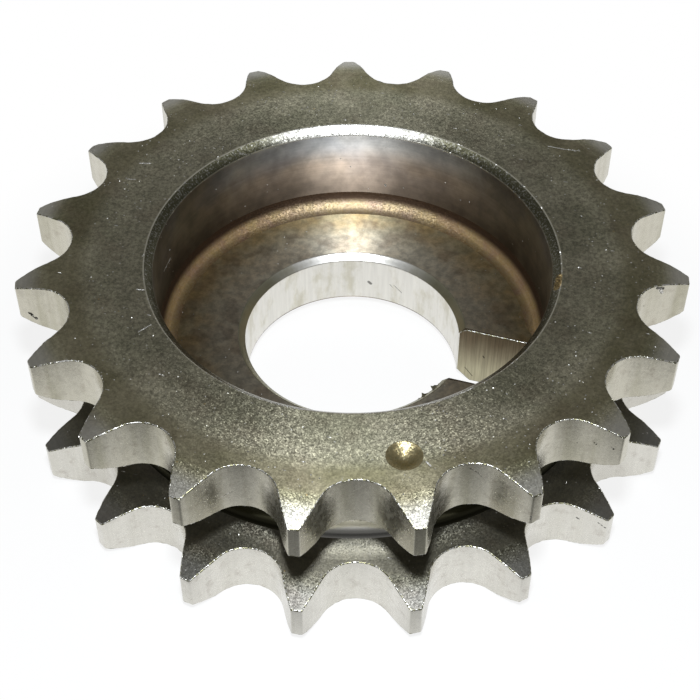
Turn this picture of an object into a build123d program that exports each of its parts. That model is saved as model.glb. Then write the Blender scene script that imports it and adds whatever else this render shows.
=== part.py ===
"""Duplex chain sprocket: two rows of 19 teeth on one hub, turned and cut from one piece of steel.

Millimetres, +Z up. The bore's axis is Z, the lower face lies on Z = 0, and the middle of the
drive slot lies on +X. Angles run anticlockwise from +X, seen from above. The order of the work
is that of the real part: the blank is turned, the drive slot and the timing mark are cut, and
the tooth gaps come last, through both rows in one pass.
"""

from build123d import *

import os
from math import degrees, pi, radians, sin, sqrt, tan

# chain
CHAIN_PITCH = 9.525  # from one roller to the next, 3/8 inch
ROLLER_DIAMETER = 6.35
ROW_SPACING = 11.2  # from the middle of one row to the middle of the other

# teeth
TOOTH_COUNT = 19
TOOTH_WIDTH = 5.35  # thickness of one row
TOOTH_ABOVE_PITCH = 1.465  # from the pitch circle out to the tips
SEAT_CLEARANCE = 0.07  # radius of the roller seat, less the roller's own
SEAT_ANGLE = 121.9  # how far the seat wraps the roller before the flanks begin
FLANK_RADIUS = 24.0  # convex flank between the seat and the tip
RELIEF_DEPTH = 0.95  # how much each side of a tooth falls away at its tip
RELIEF_RADIUS = 9.525  # rounding of the tooth sides

# hub and the groove between the rows
GROOVE_BELOW_ROOT = 2.36  # from the foot of the tooth gaps in to the groove's bottom
GROOVE_FILLET = 2.1

# counterbore
RIM_WALL = 5.3  # steel left between the counterbore and the groove
WEB_THICKNESS = 6.85  # steel left under the counterbore
COUNTERBORE_CHAMFER = 0.75
COUNTERBORE_FILLET = 1.6

# bore
BORE_DIAMETER = 20.3
BORE_TOP_CHAMFER = 0.6
BORE_BOTTOM_CHAMFER = 1.3

# drive slot
SLOT_WIDTH = 6.35
SLOT_END_WALL = 0.7  # from the slot's closed end out to the counterbore's wall
SLOT_CORNER_RADIUS = 0.5
SLOT_TO_GAP = 3.3  # degrees from the slot's middle to the middle of the nearest tooth gap

# timing mark, a drill point in the upper face on a tooth's middle line
MARK_DIAMETER = 3.0
MARK_POINT_ANGLE = 118.0
MARK_BELOW_ROOT = 2.1  # from the foot of the tooth gaps in to the mark's middle
MARK_TOOTH = 4  # which tooth, counted clockwise from the slot

# radii and heights that follow
pitch_radius = CHAIN_PITCH / (2 * sin(pi / TOOTH_COUNT))
root_radius = pitch_radius - ROLLER_DIAMETER / 2
tip_radius = pitch_radius + TOOTH_ABOVE_PITCH
seat_radius = ROLLER_DIAMETER / 2 + SEAT_CLEARANCE
relief_start = tip_radius - sqrt(RELIEF_DEPTH * (2 * RELIEF_RADIUS - RELIEF_DEPTH))
groove_radius = root_radius - GROOVE_BELOW_ROOT
counterbore_radius = groove_radius - RIM_WALL
bore_radius = BORE_DIAMETER / 2
height = ROW_SPACING + TOOTH_WIDTH
groove_width = ROW_SPACING - TOOTH_WIDTH
web_land = counterbore_radius - bore_radius - BORE_TOP_CHAMFER
tooth_angle = 360 / TOOTH_COUNT


def held_to(size, *walls):
    """A fillet's size, held to nine tenths of the narrowest wall that it has to fit."""
    return min(size, *(0.9 * wall for wall in walls))


def ring(radius, level):
    """The turned blank's round edge nearest to this radius and height."""
    rings = sprocket.edges().filter_by(GeomType.CIRCLE).filter_by(Plane.XY)
    return rings.sort_by(lambda edge: abs(edge.radius - radius) + abs(edge.center().Z - level))[0]


# one tooth gap, its middle line on +X: the roller seat and a convex flank on each side, which
# run on for twice the depth of a tooth and so end outside the tips
flank_sweep = degrees(2 * (tip_radius - root_radius) / FLANK_RADIUS)

with BuildSketch() as tooth_gap:
    with BuildLine():
        seat = CenterArc((root_radius + seat_radius, 0), seat_radius, 180 - SEAT_ANGLE / 2, SEAT_ANGLE)
        left_flank = JernArc(seat @ 0, -(seat % 0), FLANK_RADIUS, flank_sweep)
        right_flank = JernArc(seat @ 1, seat % 1, FLANK_RADIUS, -flank_sweep)
        Line(left_flank @ 1, right_flank @ 1)
    make_face()

with BuildPart() as sprocket:
    # the two rows as plain discs, each side rounded off toward the tips
    for floor in (0, ROW_SPACING):
        middle = floor + TOOTH_WIDTH / 2
        with BuildSketch(Plane.XZ):
            with BuildLine():
                lower_face = Line((0, floor), (relief_start, floor))
                lower_side = TangentArc(lower_face @ 1, (tip_radius, floor + RELIEF_DEPTH), tangent=(1, 0))
                Line(lower_side @ 1, (tip_radius, middle))
                Line((0, floor), (0, middle))
                mirror(about=Plane.XZ.offset(-middle))
            make_face()
        revolve(axis=Axis.Z)

    # hub between them, with rounded corners to the groove
    Cylinder(groove_radius, height, align=(Align.CENTER, Align.CENTER, Align.MIN))
    groove_corners = [ring(groove_radius, TOOTH_WIDTH), ring(groove_radius, ROW_SPACING)]
    fillet(groove_corners, held_to(GROOVE_FILLET, groove_width / 2, relief_start - groove_radius))

    # counterbore and bore
    with Locations((0, 0, height)):
        CounterBoreHole(bore_radius, counterbore_radius, height - WEB_THICKNESS)
    chamfer(ring(counterbore_radius, height), COUNTERBORE_CHAMFER)
    fillet(ring(counterbore_radius, WEB_THICKNESS), held_to(COUNTERBORE_FILLET, web_land))
    chamfer(ring(bore_radius, WEB_THICKNESS), BORE_TOP_CHAMFER)
    chamfer(ring(bore_radius, 0), BORE_BOTTOM_CHAMFER)

    # drive slot, open to the bore and closed just inside the counterbore's wall
    with BuildSketch() as slot:
        slot_reach = counterbore_radius - SLOT_END_WALL
        Rectangle(slot_reach, SLOT_WIDTH, align=(Align.MIN, Align.CENTER))
        fillet(slot.vertices().group_by(Axis.X)[-1], SLOT_CORNER_RADIUS)
    extrude(amount=height, mode=Mode.SUBTRACT)

    # timing mark
    mark_angle = SLOT_TO_GAP + tooth_angle / 2 - MARK_TOOTH * tooth_angle
    mark_depth = MARK_DIAMETER / 2 / tan(radians(MARK_POINT_ANGLE / 2))
    with Locations(Plane.XY.offset(height)):
        with PolarLocations(root_radius - MARK_BELOW_ROOT, 1, start_angle=mark_angle):
            Cone(
                0,
                MARK_DIAMETER / 2,
                mark_depth,
                align=(Align.CENTER, Align.CENTER, Align.MAX),
                mode=Mode.SUBTRACT,
            )

    # tooth gaps
    with BuildSketch():
        with PolarLocations(0, TOOTH_COUNT, start_angle=SLOT_TO_GAP):
            add(tooth_gap.sketch)
    extrude(amount=height, mode=Mode.SUBTRACT)

sprocket.part.label = "sprocket"
os.makedirs("parts", exist_ok=True)
export_step(sprocket.part, "parts/sprocket.step")
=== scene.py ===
"""Duplex chain sprocket, dressed: a lived-in steel sprocket on a white bench.

Sizes are those of the real part in metres, +Z up, with the bore's axis on Z, the lower face on
Z = 0 and the middle of the drive slot on +X. The teeth are one tooth repeated round the axis by
Geometry Nodes. The hub inside them, which holds the counterbore, the web, the bore and the drive
slot, is laid out in the same columns and joined to them, so the part is one closed skin.
"""

from functools import reduce
from math import asin, atan2, cos, hypot, pi, radians, sin, sqrt, tan
from operator import or_

import bmesh
import bpy
import numpy as np
from bpy.props import FloatProperty, FloatVectorProperty, IntProperty, PointerProperty
from mathutils import Matrix, Vector, noise


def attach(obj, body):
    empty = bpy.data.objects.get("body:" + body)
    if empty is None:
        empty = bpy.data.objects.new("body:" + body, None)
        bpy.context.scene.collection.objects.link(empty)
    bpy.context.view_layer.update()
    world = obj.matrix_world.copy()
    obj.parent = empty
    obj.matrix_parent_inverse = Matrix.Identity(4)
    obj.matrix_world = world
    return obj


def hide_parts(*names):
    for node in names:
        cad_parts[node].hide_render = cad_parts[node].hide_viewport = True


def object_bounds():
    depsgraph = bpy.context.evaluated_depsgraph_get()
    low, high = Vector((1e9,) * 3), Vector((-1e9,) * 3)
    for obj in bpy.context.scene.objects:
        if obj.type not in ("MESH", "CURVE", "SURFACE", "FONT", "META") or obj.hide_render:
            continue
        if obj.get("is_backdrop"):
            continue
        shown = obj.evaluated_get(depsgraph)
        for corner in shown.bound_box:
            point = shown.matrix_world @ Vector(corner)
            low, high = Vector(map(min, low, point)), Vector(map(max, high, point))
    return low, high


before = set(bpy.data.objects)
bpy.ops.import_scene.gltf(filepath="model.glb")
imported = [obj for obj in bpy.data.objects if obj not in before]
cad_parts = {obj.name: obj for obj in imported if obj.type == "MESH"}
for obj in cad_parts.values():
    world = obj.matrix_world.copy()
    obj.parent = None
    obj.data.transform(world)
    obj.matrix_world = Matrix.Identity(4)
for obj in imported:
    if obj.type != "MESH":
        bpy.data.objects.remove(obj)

bl_info = {
    "name": "Duplex Chain Sprocket",
    "version": (1, 0, 0),
    "blender": (4, 5, 0),
    "location": "3D View > Sidebar > Sprocket",
    "description": "Makes a used duplex chain sprocket, its steel finishes and its stage",
    "category": "Object",
}

MM = 0.001  # metres in a millimetre
CAD_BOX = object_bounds()
NODE = "sprocket"
WELD = 0.002 * MM  # points nearer to each other than this are one
NOISE_SWING = 0.25  # how far noise runs to either side of its middle
LUMP = 0.5  # width of a lump in noise whose scale is 1

# facets that break up the light, sizes in millimetres
GRAIN = 0.1  # on turned faces
SPECK = 0.05  # in the specks in the counterbore
SCRAPE = 0.03  # in scratches and burrs

# stage
WHITE = (1, 1, 1)
FILM_WIDTH = 36  # millimetres, that the lens's focal length goes with
OWN_WHITE = 0.85  # share of the bench's white by the part that no shadow can take
DIM = 0.15  # what the steel mirrors outside the bright parts of bench and room
STRIP_SIDES = (0.2, 0.6)  # where the strip fades to its sides, as cosines from straight back

# finishes, in the order of the mesh's material slots
FACE, FLANK, EDGE, GROOVE, BORE, COUNTERBORE, FILLET, WEB, SLOT, MARK, RIM, LIP = range(12)


def length(name, description, millimetres, smallest=0.0):
    """A property that holds a length."""
    return FloatProperty(
        name=name,
        description=description,
        default=millimetres * MM,
        min=smallest * MM,
        unit="LENGTH",
        precision=5,
    )


def angle(name, description, degrees):
    """A property that holds an angle."""
    default = radians(degrees)
    return FloatProperty(name=name, description=description, default=default, unit="ROTATION")


def linear(code):
    """An sRGB hex colour such as 8c8a7a as linear red, green and blue."""
    parts = [int(code[place : place + 2], 16) / 255 for place in (0, 2, 4)]
    return tuple(c / 12.92 if c <= 0.04045 else ((c + 0.055) / 1.055) ** 2.4 for c in parts)


def colour(name, description, code):
    """A property that holds a colour, its default given as an sRGB hex value."""
    return FloatVectorProperty(
        name=name, description=description, default=linear(code), subtype="COLOR", min=0.0, max=1.0
    )


def spot(name, description, *millimetres):
    """A property that holds a place."""
    return FloatVectorProperty(
        name=name,
        description=description,
        default=[value * MM for value in millimetres],
        unit="LENGTH",
        precision=5,
    )


class SprocketSizes(bpy.types.PropertyGroup):
    """Sizes of the sprocket."""

    chain_pitch: length("Chain pitch", "From one roller to the next", 9.525)
    roller_diameter: length("Roller", "Diameter of the chain's rollers", 6.35)
    row_spacing: length("Row spacing", "From the middle of one row to the other's", 11.2)
    tooth_count: IntProperty(
        name="Teeth", description="Teeth in each row", default=19, min=9, max=60
    )
    tooth_width: length("Tooth width", "Thickness of one row of teeth", 5.35)
    tooth_above_pitch: length("Tip height", "From the pitch circle out to the tips", 1.465)
    seat_clearance: length("Seat clearance", "Radius of a roller seat, less the roller's own", 0.07)
    seat_angle: angle("Seat angle", "How far a seat wraps its roller", 121.9)
    flank_radius: length("Flank radius", "Convex flank between seat and tip", 24.0)
    relief_depth: length("Relief depth", "How much a tooth's side falls away at its tip", 0.95)
    relief_radius: length("Relief radius", "Rounding of the tooth sides", 9.525)
    groove_below_root: length("Groove depth", "From the foot of the tooth gaps to the groove", 2.36)
    groove_fillet: length("Groove fillet", "Rounded corners of the groove", 2.1)
    rim_wall: length("Rim wall", "Steel between counterbore and groove", 5.3)
    web_thickness: length("Web thickness", "Steel under the counterbore", 6.85)
    counterbore_chamfer: length("Counterbore chamfer", "Bevel round the counterbore's mouth", 0.75)
    counterbore_fillet: length("Counterbore fillet", "Rounded foot of the counterbore's wall", 1.6)
    bore_diameter: length("Bore", "Diameter of the shaft's hole", 20.3)
    bore_top_chamfer: length("Upper bore chamfer", "Bevel round the bore in the counterbore", 0.6)
    bore_bottom_chamfer: length("Lower bore chamfer", "Bevel round the bore underneath", 1.3)
    slot_width: length("Slot width", "Width of the drive slot", 6.35)
    slot_end_wall: length("Slot end wall", "From the slot's end to the counterbore's wall", 0.7)
    slot_corner_radius: length("Slot corners", "Rounding of the slot's closed corners", 0.5)
    slot_to_gap: angle("Slot to gap", "From the slot's middle to the nearest tooth gap", 3.3)
    mark_diameter: length("Timing mark", "Diameter of the drill point in the upper face", 3.0)
    mark_point_angle: angle("Mark point angle", "Angle of the drill's point", 118.0)
    mark_below_root: length("Mark place", "From the foot of the tooth gaps in to the mark", 2.1)
    mark_tooth: IntProperty(
        name="Marked tooth", description="Counted clockwise from the slot", default=4
    )


class SprocketWear(bpy.types.PropertyGroup):
    """What machining and use have left on the steel, and the sides where light and shade are
    painted.
    """

    edge_break: length("Edge break", "Width of the worn edges round the teeth", 0.09)
    burr_height: length("Burr height", "How far the edges stand out of line", 0.035)
    burr_spacing: length("Burr spacing", "From one burr to the next along an edge", 0.45)
    rag_height: length("Rag height", "How far the torn burr by the slot stands out", 0.4)
    rag_start: angle("Rag start", "Where the torn burr starts, from the slot's middle", -38)
    rag_end: angle("Rag end", "Where the torn burr ends", -21)
    # the side painted lighter, as a painted highlight, on the counterbore's wall, fillet, chamfer
    # and lips and on the bore's upper chamfer
    highlight_side: angle("Rubbed side", "Where the counterbore is rubbed, from the slot", 107)
    # the side where the groove's painted shade is left off, so that a reflection shows there
    reflecting_side: angle("Wiped side", "Where the groove is wiped bright, from the slot", 287)
    seed: IntProperty(name="Seed", description="Another seed gives other burrs", default=7, min=0)


class SprocketFinish(bpy.types.PropertyGroup):
    """Colours of the steel's finishes."""

    bare: colour("Bare steel", "Freshly cut steel on the flanks and in the bore", "dbd9d2")
    film: colour("Oil film", "Thin olive film that oil has left on the turned faces", "b1ab90")
    film_dark: colour("Dark film", "The same film where it lies thick", "8b886b")
    varnish: colour("Varnish", "Baked oil on the wall of the counterbore", "6f5b4b")
    # used only on the highlight side of the counterbore's wall, as part of its painted highlight
    tinted: colour("Brown tint", "Where the varnish is rubbed thin", "dac7b1")
    straw: colour("Straw tint", "Where the film thins out to gold", "b7a070")
    bronze: colour("Bronze tint", "Where the oil has baked on hardest", "a98a72")
    blue: colour("Blue tint", "Where the oil has baked on thinnest", "8f96a3")


class StageSettings(bpy.types.PropertyGroup):
    """The bench, the room's light, the lamp and the camera."""

    turn: angle("Turn", "How far the stage is turned round the part, from its X axis", 16.8)
    floor: colour("Bench", "Colour of the bench", "f4f4f1")
    bench_size: length("Bench size", "Width of the bench", 1200.0)
    shadow_start: length("Shadow start", "Within this the part throws a faint shadow", 34.0)
    shadow_end: length("Shadow end", "Beyond this the bench is white", 48.0)
    pool_place: length("Pool place", "How far behind the part the mirrored pool lies", 16.0)
    pool_start: length("Pool start", "Within this the mirrored pool is white", 42.0)
    pool_end: length("Pool end", "Beyond this the mirrored bench is dim", 56.0)
    pool_stretch: FloatProperty(
        name="Pool stretch", description="Width of the pool over its depth", default=1 / 0.7
    )
    room: colour("Room", "What the metal mirrors from above", "868686")
    room_dim: angle("Dim below", "Height over the horizon below which the room is dim", 5)
    room_full: angle("Bright above", "Height over the horizon above which the room is bright", 40)
    strip_full: angle("Strip", "Height up to which the strip behind the part is white", 4)
    strip_top: angle("Strip top", "Height at which the strip has faded out", 14)
    lamp_colour: colour("Lamp colour", "A slightly cool white", "f2f7ff")
    lamp_power: FloatProperty(
        name="Lamp", description="Power of the lamp", default=0.24, min=0.0, unit="POWER"
    )
    lamp_size: length("Lamp size", "Diameter of the lamp's face", 16.0)
    lamp_place: spot("Lamp place", "Middle of the lamp's face", -0.9, -77.4, 139.25)
    lamp_aim: length("Lamp aim", "Height on the part's axis that the lamp faces", 12.0)
    lens: FloatProperty(
        name="Lens", description="Focal length in millimetres", default=80.77, min=1.0
    )
    camera_aim: spot("Camera aim", "What the camera looks at", -0.209, -11.677, 16.55)
    camera_distance: length("Camera distance", "From the camera to what it looks at", 134.06)
    camera_rise: angle("Camera rise", "How far the camera looks down", 46.8)
    camera_roll: angle("Camera roll", "How far the camera is tipped to its side", 0.126)


# ---------------------------------------------------------------- nodes


def add(tree, kind, *values, inputs=None, **settings):
    """Adds a node to a tree with its settings, and sets or links its inputs.

    Values fill the inputs that the settings leave open, in their order, and inputs fills others
    by name. Gives the node's first open output.
    """
    node = tree.nodes.new(kind)
    for name, value in settings.items():
        setattr(node, name, value)
    filled = list(zip((socket for socket in node.inputs if socket.enabled), values))
    filled += [(node.inputs[name], value) for name, value in (inputs or {}).items()]
    for socket, value in filled:
        if isinstance(value, Pattern):
            value = value.socket
        if isinstance(value, bpy.types.NodeSocket):
            tree.links.new(value, socket)
        elif socket.type == "RGBA":
            socket.default_value = (*value, 1)
        else:
            socket.default_value = value
    return next((socket for socket in node.outputs if socket.enabled), None)


def cleared(owner):
    """The node tree of a new material or world, with nothing in it."""
    owner.use_nodes = True
    owner.node_tree.nodes.clear()
    return owner.node_tree


class Pattern:
    """A number that changes from place to place, with sums and products that nodes work out."""

    def __init__(self, socket):
        self.socket = socket

    def made(self, kind, *values, **settings):
        """The pattern that a new node in the same tree gives."""
        return Pattern(add(self.socket.id_data, kind, *values, **settings))

    def __add__(self, other):
        return self.made("ShaderNodeMath", self, other, operation="ADD")

    def __sub__(self, other):
        return self.made("ShaderNodeMath", self, other, operation="SUBTRACT")

    def __rsub__(self, other):
        return self.made("ShaderNodeMath", other, self, operation="SUBTRACT")

    def __mul__(self, other):
        return self.made("ShaderNodeMath", self, other, operation="MULTIPLY")

    def __truediv__(self, other):
        return self.made("ShaderNodeMath", self, other, operation="DIVIDE")

    def __rtruediv__(self, other):
        return self.made("ShaderNodeMath", other, self, operation="DIVIDE")

    def __or__(self, other):
        """The greater of the two, so that either of two masks counts."""
        return self.made("ShaderNodeMath", self, other, operation="MAXIMUM")

    def step(self, low, high):
        """0 below low and 1 above high, smooth between. A low above high turns it round."""
        return self.made("ShaderNodeMapRange", self, low, high, interpolation_type="SMOOTHSTEP")

    def between(self, low, high):
        """This pattern's 0 to 1, and no more, brought to low to high."""
        return self.made("ShaderNodeMapRange", self, 0.0, 1.0, low, high)


# ---------------------------------------------------------------- shape


class Shape:
    """The sprocket's sizes in millimetres, and the radii and heights that follow from them."""

    def __init__(self, sizes, wear):
        for group in (sizes, wear):
            for name, prop in group.bl_rna.properties.items():
                if prop.type == "FLOAT":
                    value = getattr(group, name)
                    setattr(self, name, value / MM if prop.unit == "LENGTH" else value)
                elif prop.type == "INT":
                    setattr(self, name, getattr(group, name))
        self.pitch_radius = self.chain_pitch / (2 * sin(pi / self.tooth_count))
        self.root_radius = self.pitch_radius - self.roller_diameter / 2
        self.tip_radius = self.pitch_radius + self.tooth_above_pitch
        self.seat_radius = self.roller_diameter / 2 + self.seat_clearance
        run = sqrt(self.relief_depth * (2 * self.relief_radius - self.relief_depth))
        self.relief_start = self.tip_radius - run
        self.groove_radius = self.root_radius - self.groove_below_root
        self.counterbore_radius = self.groove_radius - self.rim_wall
        self.bore_radius = self.bore_diameter / 2
        self.height = self.row_spacing + self.tooth_width
        self.slot_end = self.counterbore_radius - self.slot_end_wall
        self.mouth_radius = self.counterbore_radius + self.counterbore_chamfer
        self.seam_radius = (self.mouth_radius + self.root_radius) / 2

    def relief(self, radius):
        """How far a row's side lies in from its flat face at a radius."""
        out = np.clip(radius - self.relief_start, 0, self.relief_radius)
        return self.relief_radius - np.sqrt(self.relief_radius**2 - out**2)

    def web_top(self, radius):
        """Height of the counterbore's floor, its fillet and the bore's upper chamfer."""
        rounding = self.counterbore_fillet
        out = np.clip(radius - (self.counterbore_radius - rounding), 0, rounding)
        fillet = rounding - np.sqrt(rounding**2 - out**2)
        chamfer = np.clip(self.bore_radius + self.bore_top_chamfer - radius, 0, None)
        return self.web_thickness + fillet - chamfer

    def web_bottom(self, radius):
        """Height of the lower face and of the bore's lower chamfer."""
        return np.clip(self.bore_radius + self.bore_bottom_chamfer - radius, 0, None)


# how finely a tooth's outline and the rounded corners of the body are drawn
SEAT_POINTS, FLANK_POINTS, LAND_POINTS, FILLET_POINTS = 10, 9, 3, 8
CLOSE = 1e-9  # radians, that two angles may differ by


def half_gap(shape):
    """From a gap's middle to the next tooth's middle, the gap's middle on +X.

    Gives the points of the outline and the direction out of the steel at each.
    """
    half_seat = shape.seat_angle / 2
    seat_centre = np.array([shape.root_radius + shape.seat_radius, 0.0])
    outward = np.array([-cos(half_seat), sin(half_seat)])
    flank_centre = seat_centre + (shape.seat_radius + shape.flank_radius) * outward

    def flank(turn):
        direction = np.array([cos(turn - half_seat), sin(turn - half_seat)])
        return flank_centre + shape.flank_radius * direction, direction

    low, high = 0.0, 1.0
    while high - low > CLOSE:
        middle = (low + high) / 2
        inside = hypot(*flank(middle)[0]) < shape.tip_radius
        low, high = (middle, high) if inside else (low, middle)
    corner, _ = flank(low)
    corner_radius = 1.6 * shape.edge_break  # where the flank goes over into the tip
    last_turn = low - corner_radius / shape.flank_radius
    land_start = atan2(corner[1], corner[0]) + corner_radius / shape.tip_radius
    land_end = pi / shape.tooth_count

    points, normals = [], []
    for turn in np.linspace(0, half_seat, SEAT_POINTS):
        direction = np.array([-cos(turn), sin(turn)])
        points.append(seat_centre + shape.seat_radius * direction)
        normals.append(-direction)
    for turn in np.linspace(0, last_turn, FLANK_POINTS)[1:]:
        point, direction = flank(turn)
        points.append(point)
        normals.append(direction)
    before, out_before = points[-1], normals[-1]
    out_after = np.array([cos(land_start), sin(land_start)])
    after = shape.tip_radius * out_after
    for share in (1 / 3, 2 / 3):
        rest = 1 - share
        points.append(rest**2 * before + 2 * rest * share * corner + share**2 * after)
        normal = rest * out_before + share * out_after
        normals.append(normal / hypot(*normal))
    for turn in np.linspace(land_start, land_end, LAND_POINTS):
        direction = np.array([cos(turn), sin(turn)])
        points.append(shape.tip_radius * direction)
        normals.append(direction)
    return np.array(points), np.array(normals)


def one_tooth(shape):
    """Outline of one tooth, from the middle of one gap to the middle of the next."""
    points, normals = half_gap(shape)
    mirror_angle = 2 * pi / shape.tooth_count

    def mirrored(vectors):
        c, s = cos(mirror_angle), sin(mirror_angle)
        return (vectors @ np.array([[c, s], [s, -c]]))[:-1][::-1]

    return np.vstack([points, mirrored(points)]), np.vstack([normals, mirrored(normals)])


def polar(points):
    """Radii and angles of points in the plane."""
    return np.hypot(points[:, 0], points[:, 1]), np.arctan2(points[:, 1], points[:, 0])


class Rows:
    """Rows of points, one below the other, with the finish of the strip that leads to each.

    in_slot tells the columns that run through the drive slot, where there is one.
    """

    def __init__(self):
        self.rows, self.finishes, self.edges = [], [], []
        self.in_slot = None

    def put(self, points, heights, finish, edge=0.0):
        """Adds a row of points in the plane at a height, or at a height for each."""
        heights = np.broadcast_to(heights, len(points))
        self.rows.append(np.column_stack([points, heights]))
        self.finishes.append(finish)
        self.edges.append(edge)

    def ring(self, radii, angles, heights, finish, edge=0.0):
        """Adds a row of points given by radius and angle."""
        radii = np.broadcast_to(radii, len(angles))
        points = np.column_stack([radii * np.cos(angles), radii * np.sin(angles)])
        self.put(points, heights, finish, edge)


BREAK_STEPS = (1 / 3, 2 / 3, 1.0)  # an edge's rounding is three strips wide


def broken_edge(rows, points, normals, width, height_at, finish, lower=False):
    """Rows that round an edge: an upper one from its face to the wall, a lower one back."""
    inner = points - width * normals
    face_height = height_at(polar(inner)[0])
    wall_height = height_at(polar(points)[0]) + (width if lower else -width)
    for step in BREAK_STEPS:
        step = 1 - step if lower else step
        turn = step * pi / 2
        place = points - (1 - sin(turn)) * width * normals
        height = face_height + (wall_height - face_height) * (1 - cos(turn))
        rows.put(place, height, finish, edge=1.0 if 0 < step < 1 else 0.6)


def wall(rows, points, start, end, count, finish):
    """Rows down a straight wall, without the first, which the edge above it has put."""
    for share in np.linspace(0, 1, count + 1)[1:]:
        rows.put(points, start + (end - start) * share, finish)


def teeth_rows(shape):
    """One tooth of both rows, from the seam on the upper face round to the one below."""
    points, normals = one_tooth(shape)
    width = shape.edge_break
    inner_radii, angles = polar(points - width * normals)
    radii = polar(points)[0]
    fillet, hub = shape.groove_fillet, shape.groove_radius
    smooth_from = radians(50)  # nearer to the rows than this the groove is as rough as their faces
    rows = Rows()

    def falling(level, way):
        """The height at any radius of a row's side, which falls away from a level."""
        return lambda radius: level + way * shape.relief(radius)

    def face(start, end, height_at, count):
        """Rows on a tooth side from one radius to another, without the first."""
        for share in np.linspace(0, 1, count + 1)[1:]:
            ring = start + (end - start) * share
            rows.ring(ring, angles, height_at(ring), FACE)

    def corner(turn, height):
        """One row on a rounded corner of the groove."""
        finish = GROOVE if turn > smooth_from else FACE
        rows.ring(hub + fillet * (1 - sin(turn)), angles, height, finish)

    def flanks(above, below):
        """The edge, the wall and the edge of one row of teeth, from its upper face down."""
        broken_edge(rows, points, normals, width, above, EDGE)
        wall(rows, points, above(radii) - width, below(radii) + width, 4, FLANK)
        broken_edge(rows, points, normals, width, below, EDGE, lower=True)

    top, groove_top = falling(shape.height, -1), falling(shape.row_spacing, 1)
    groove_bottom, bottom = falling(shape.tooth_width, -1), falling(0.0, 1)
    rows.ring(shape.seam_radius, angles, shape.height, FACE)
    face(shape.seam_radius, inner_radii, top, 7)
    flanks(top, groove_top)
    face(inner_radii, hub + fillet, groove_top, 5)
    turns = np.linspace(0, pi / 2, FILLET_POINTS)
    for turn in turns[1:]:
        corner(turn, shape.row_spacing - fillet * (1 - cos(turn)))
    rows.ring(hub, angles, shape.tooth_width + fillet, GROOVE)
    for turn in turns[::-1][1:]:
        corner(turn, shape.tooth_width + fillet * (1 - cos(turn)))
    face(hub + fillet, inner_radii, groove_bottom, 6)
    flanks(groove_bottom, bottom)
    face(inner_radii, shape.seam_radius, bottom, 5)
    return rows


def keyhole(shape, columns):
    """Outline of the bore and the drive slot, one point for each column's angle.

    Columns near a corner of the slot move onto it. Gives the points, their directions out of
    the steel, and how far each column has turned to get there.
    """
    bore, half_width, end = shape.bore_radius, shape.slot_width / 2, shape.slot_end
    corner, round_off = shape.slot_corner_radius, 1.2 * shape.edge_break
    mouth = sqrt(bore**2 - half_width**2)
    centre = np.array([end - corner, half_width - corner])
    end_stop = atan2(half_width - corner, end)  # from the slot's end to its corner
    side_stop = atan2(half_width, end - corner)  # from the corner to the slot's side
    mouth_stop = atan2(half_width, mouth + round_off)  # from the side to its rounded mouth
    meeting = asin(half_width / bore)  # where side and bore would meet unrounded
    bore_stop = meeting + round_off / bore  # from the rounded mouth to the bore
    in_corner = (end_stop + side_stop) / 2
    wanted = np.array([end_stop, in_corner, side_stop, mouth_stop, meeting, bore_stop])
    wanted = np.concatenate([-wanted[::-1], wanted])
    places = np.searchsorted(columns, wanted)
    before = np.abs(columns[places - 1] - wanted) < np.abs(columns[places] - wanted)
    places = np.where(before, places - 1, places)
    for place in range(1, len(places)):
        places[place] = max(places[place], places[place - 1] + 1)
    fixed = radians(60)  # beyond this the columns stay where they are
    known = np.concatenate([[-pi, -fixed], columns[places], [fixed, pi]])
    turned = np.interp(columns, known, np.concatenate([[-pi, -fixed], wanted, [fixed, pi]]))

    points, normals = [], []
    for theta in turned:
        side, t = (1 if theta >= 0 else -1), abs(theta)
        ray = np.array([cos(t), sin(t)])
        if t >= bore_stop - CLOSE:
            point, normal = bore * ray, -ray
        elif t > mouth_stop + CLOSE:
            point = (bore - 0.35 * round_off / 2) * ray + np.array([0.2 * round_off, 0])
            normal = -ray + np.array([0, -1.0])
        elif t >= side_stop - CLOSE:
            point, normal = half_width / sin(t) * ray, np.array([0, -1.0])
        elif t > end_stop + CLOSE:
            along = ray @ centre
            point = (along + sqrt(corner**2 - centre @ centre + along**2)) * ray
            normal = centre - point
        else:
            point, normal = end / cos(t) * ray, np.array([-1.0, 0])
        flip = np.array([1, side])
        points.append(point * flip)
        normals.append(normal / hypot(*normal) * flip)
    return np.array(points), np.array(normals), turned


def torn_burr(shape, angles):
    """How far the torn burr on the bore's upper edge stands out at each angle."""
    middle = (shape.rag_start + shape.rag_end) / 2
    half = abs(shape.rag_end - shape.rag_start) / 2
    inside = np.clip(3 * (1 - np.abs(angles - middle) / half), 0, 1)
    coarse, fine = 15, 50  # tears in each radian
    ragged = [
        noise.noise((coarse * theta, shape.seed, 0))
        + 0.6 * noise.noise((fine * theta, 0, shape.seed))
        for theta in angles
    ]
    return shape.rag_height * inside * np.clip(np.array(ragged) + 0.15, 0, 1)


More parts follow.
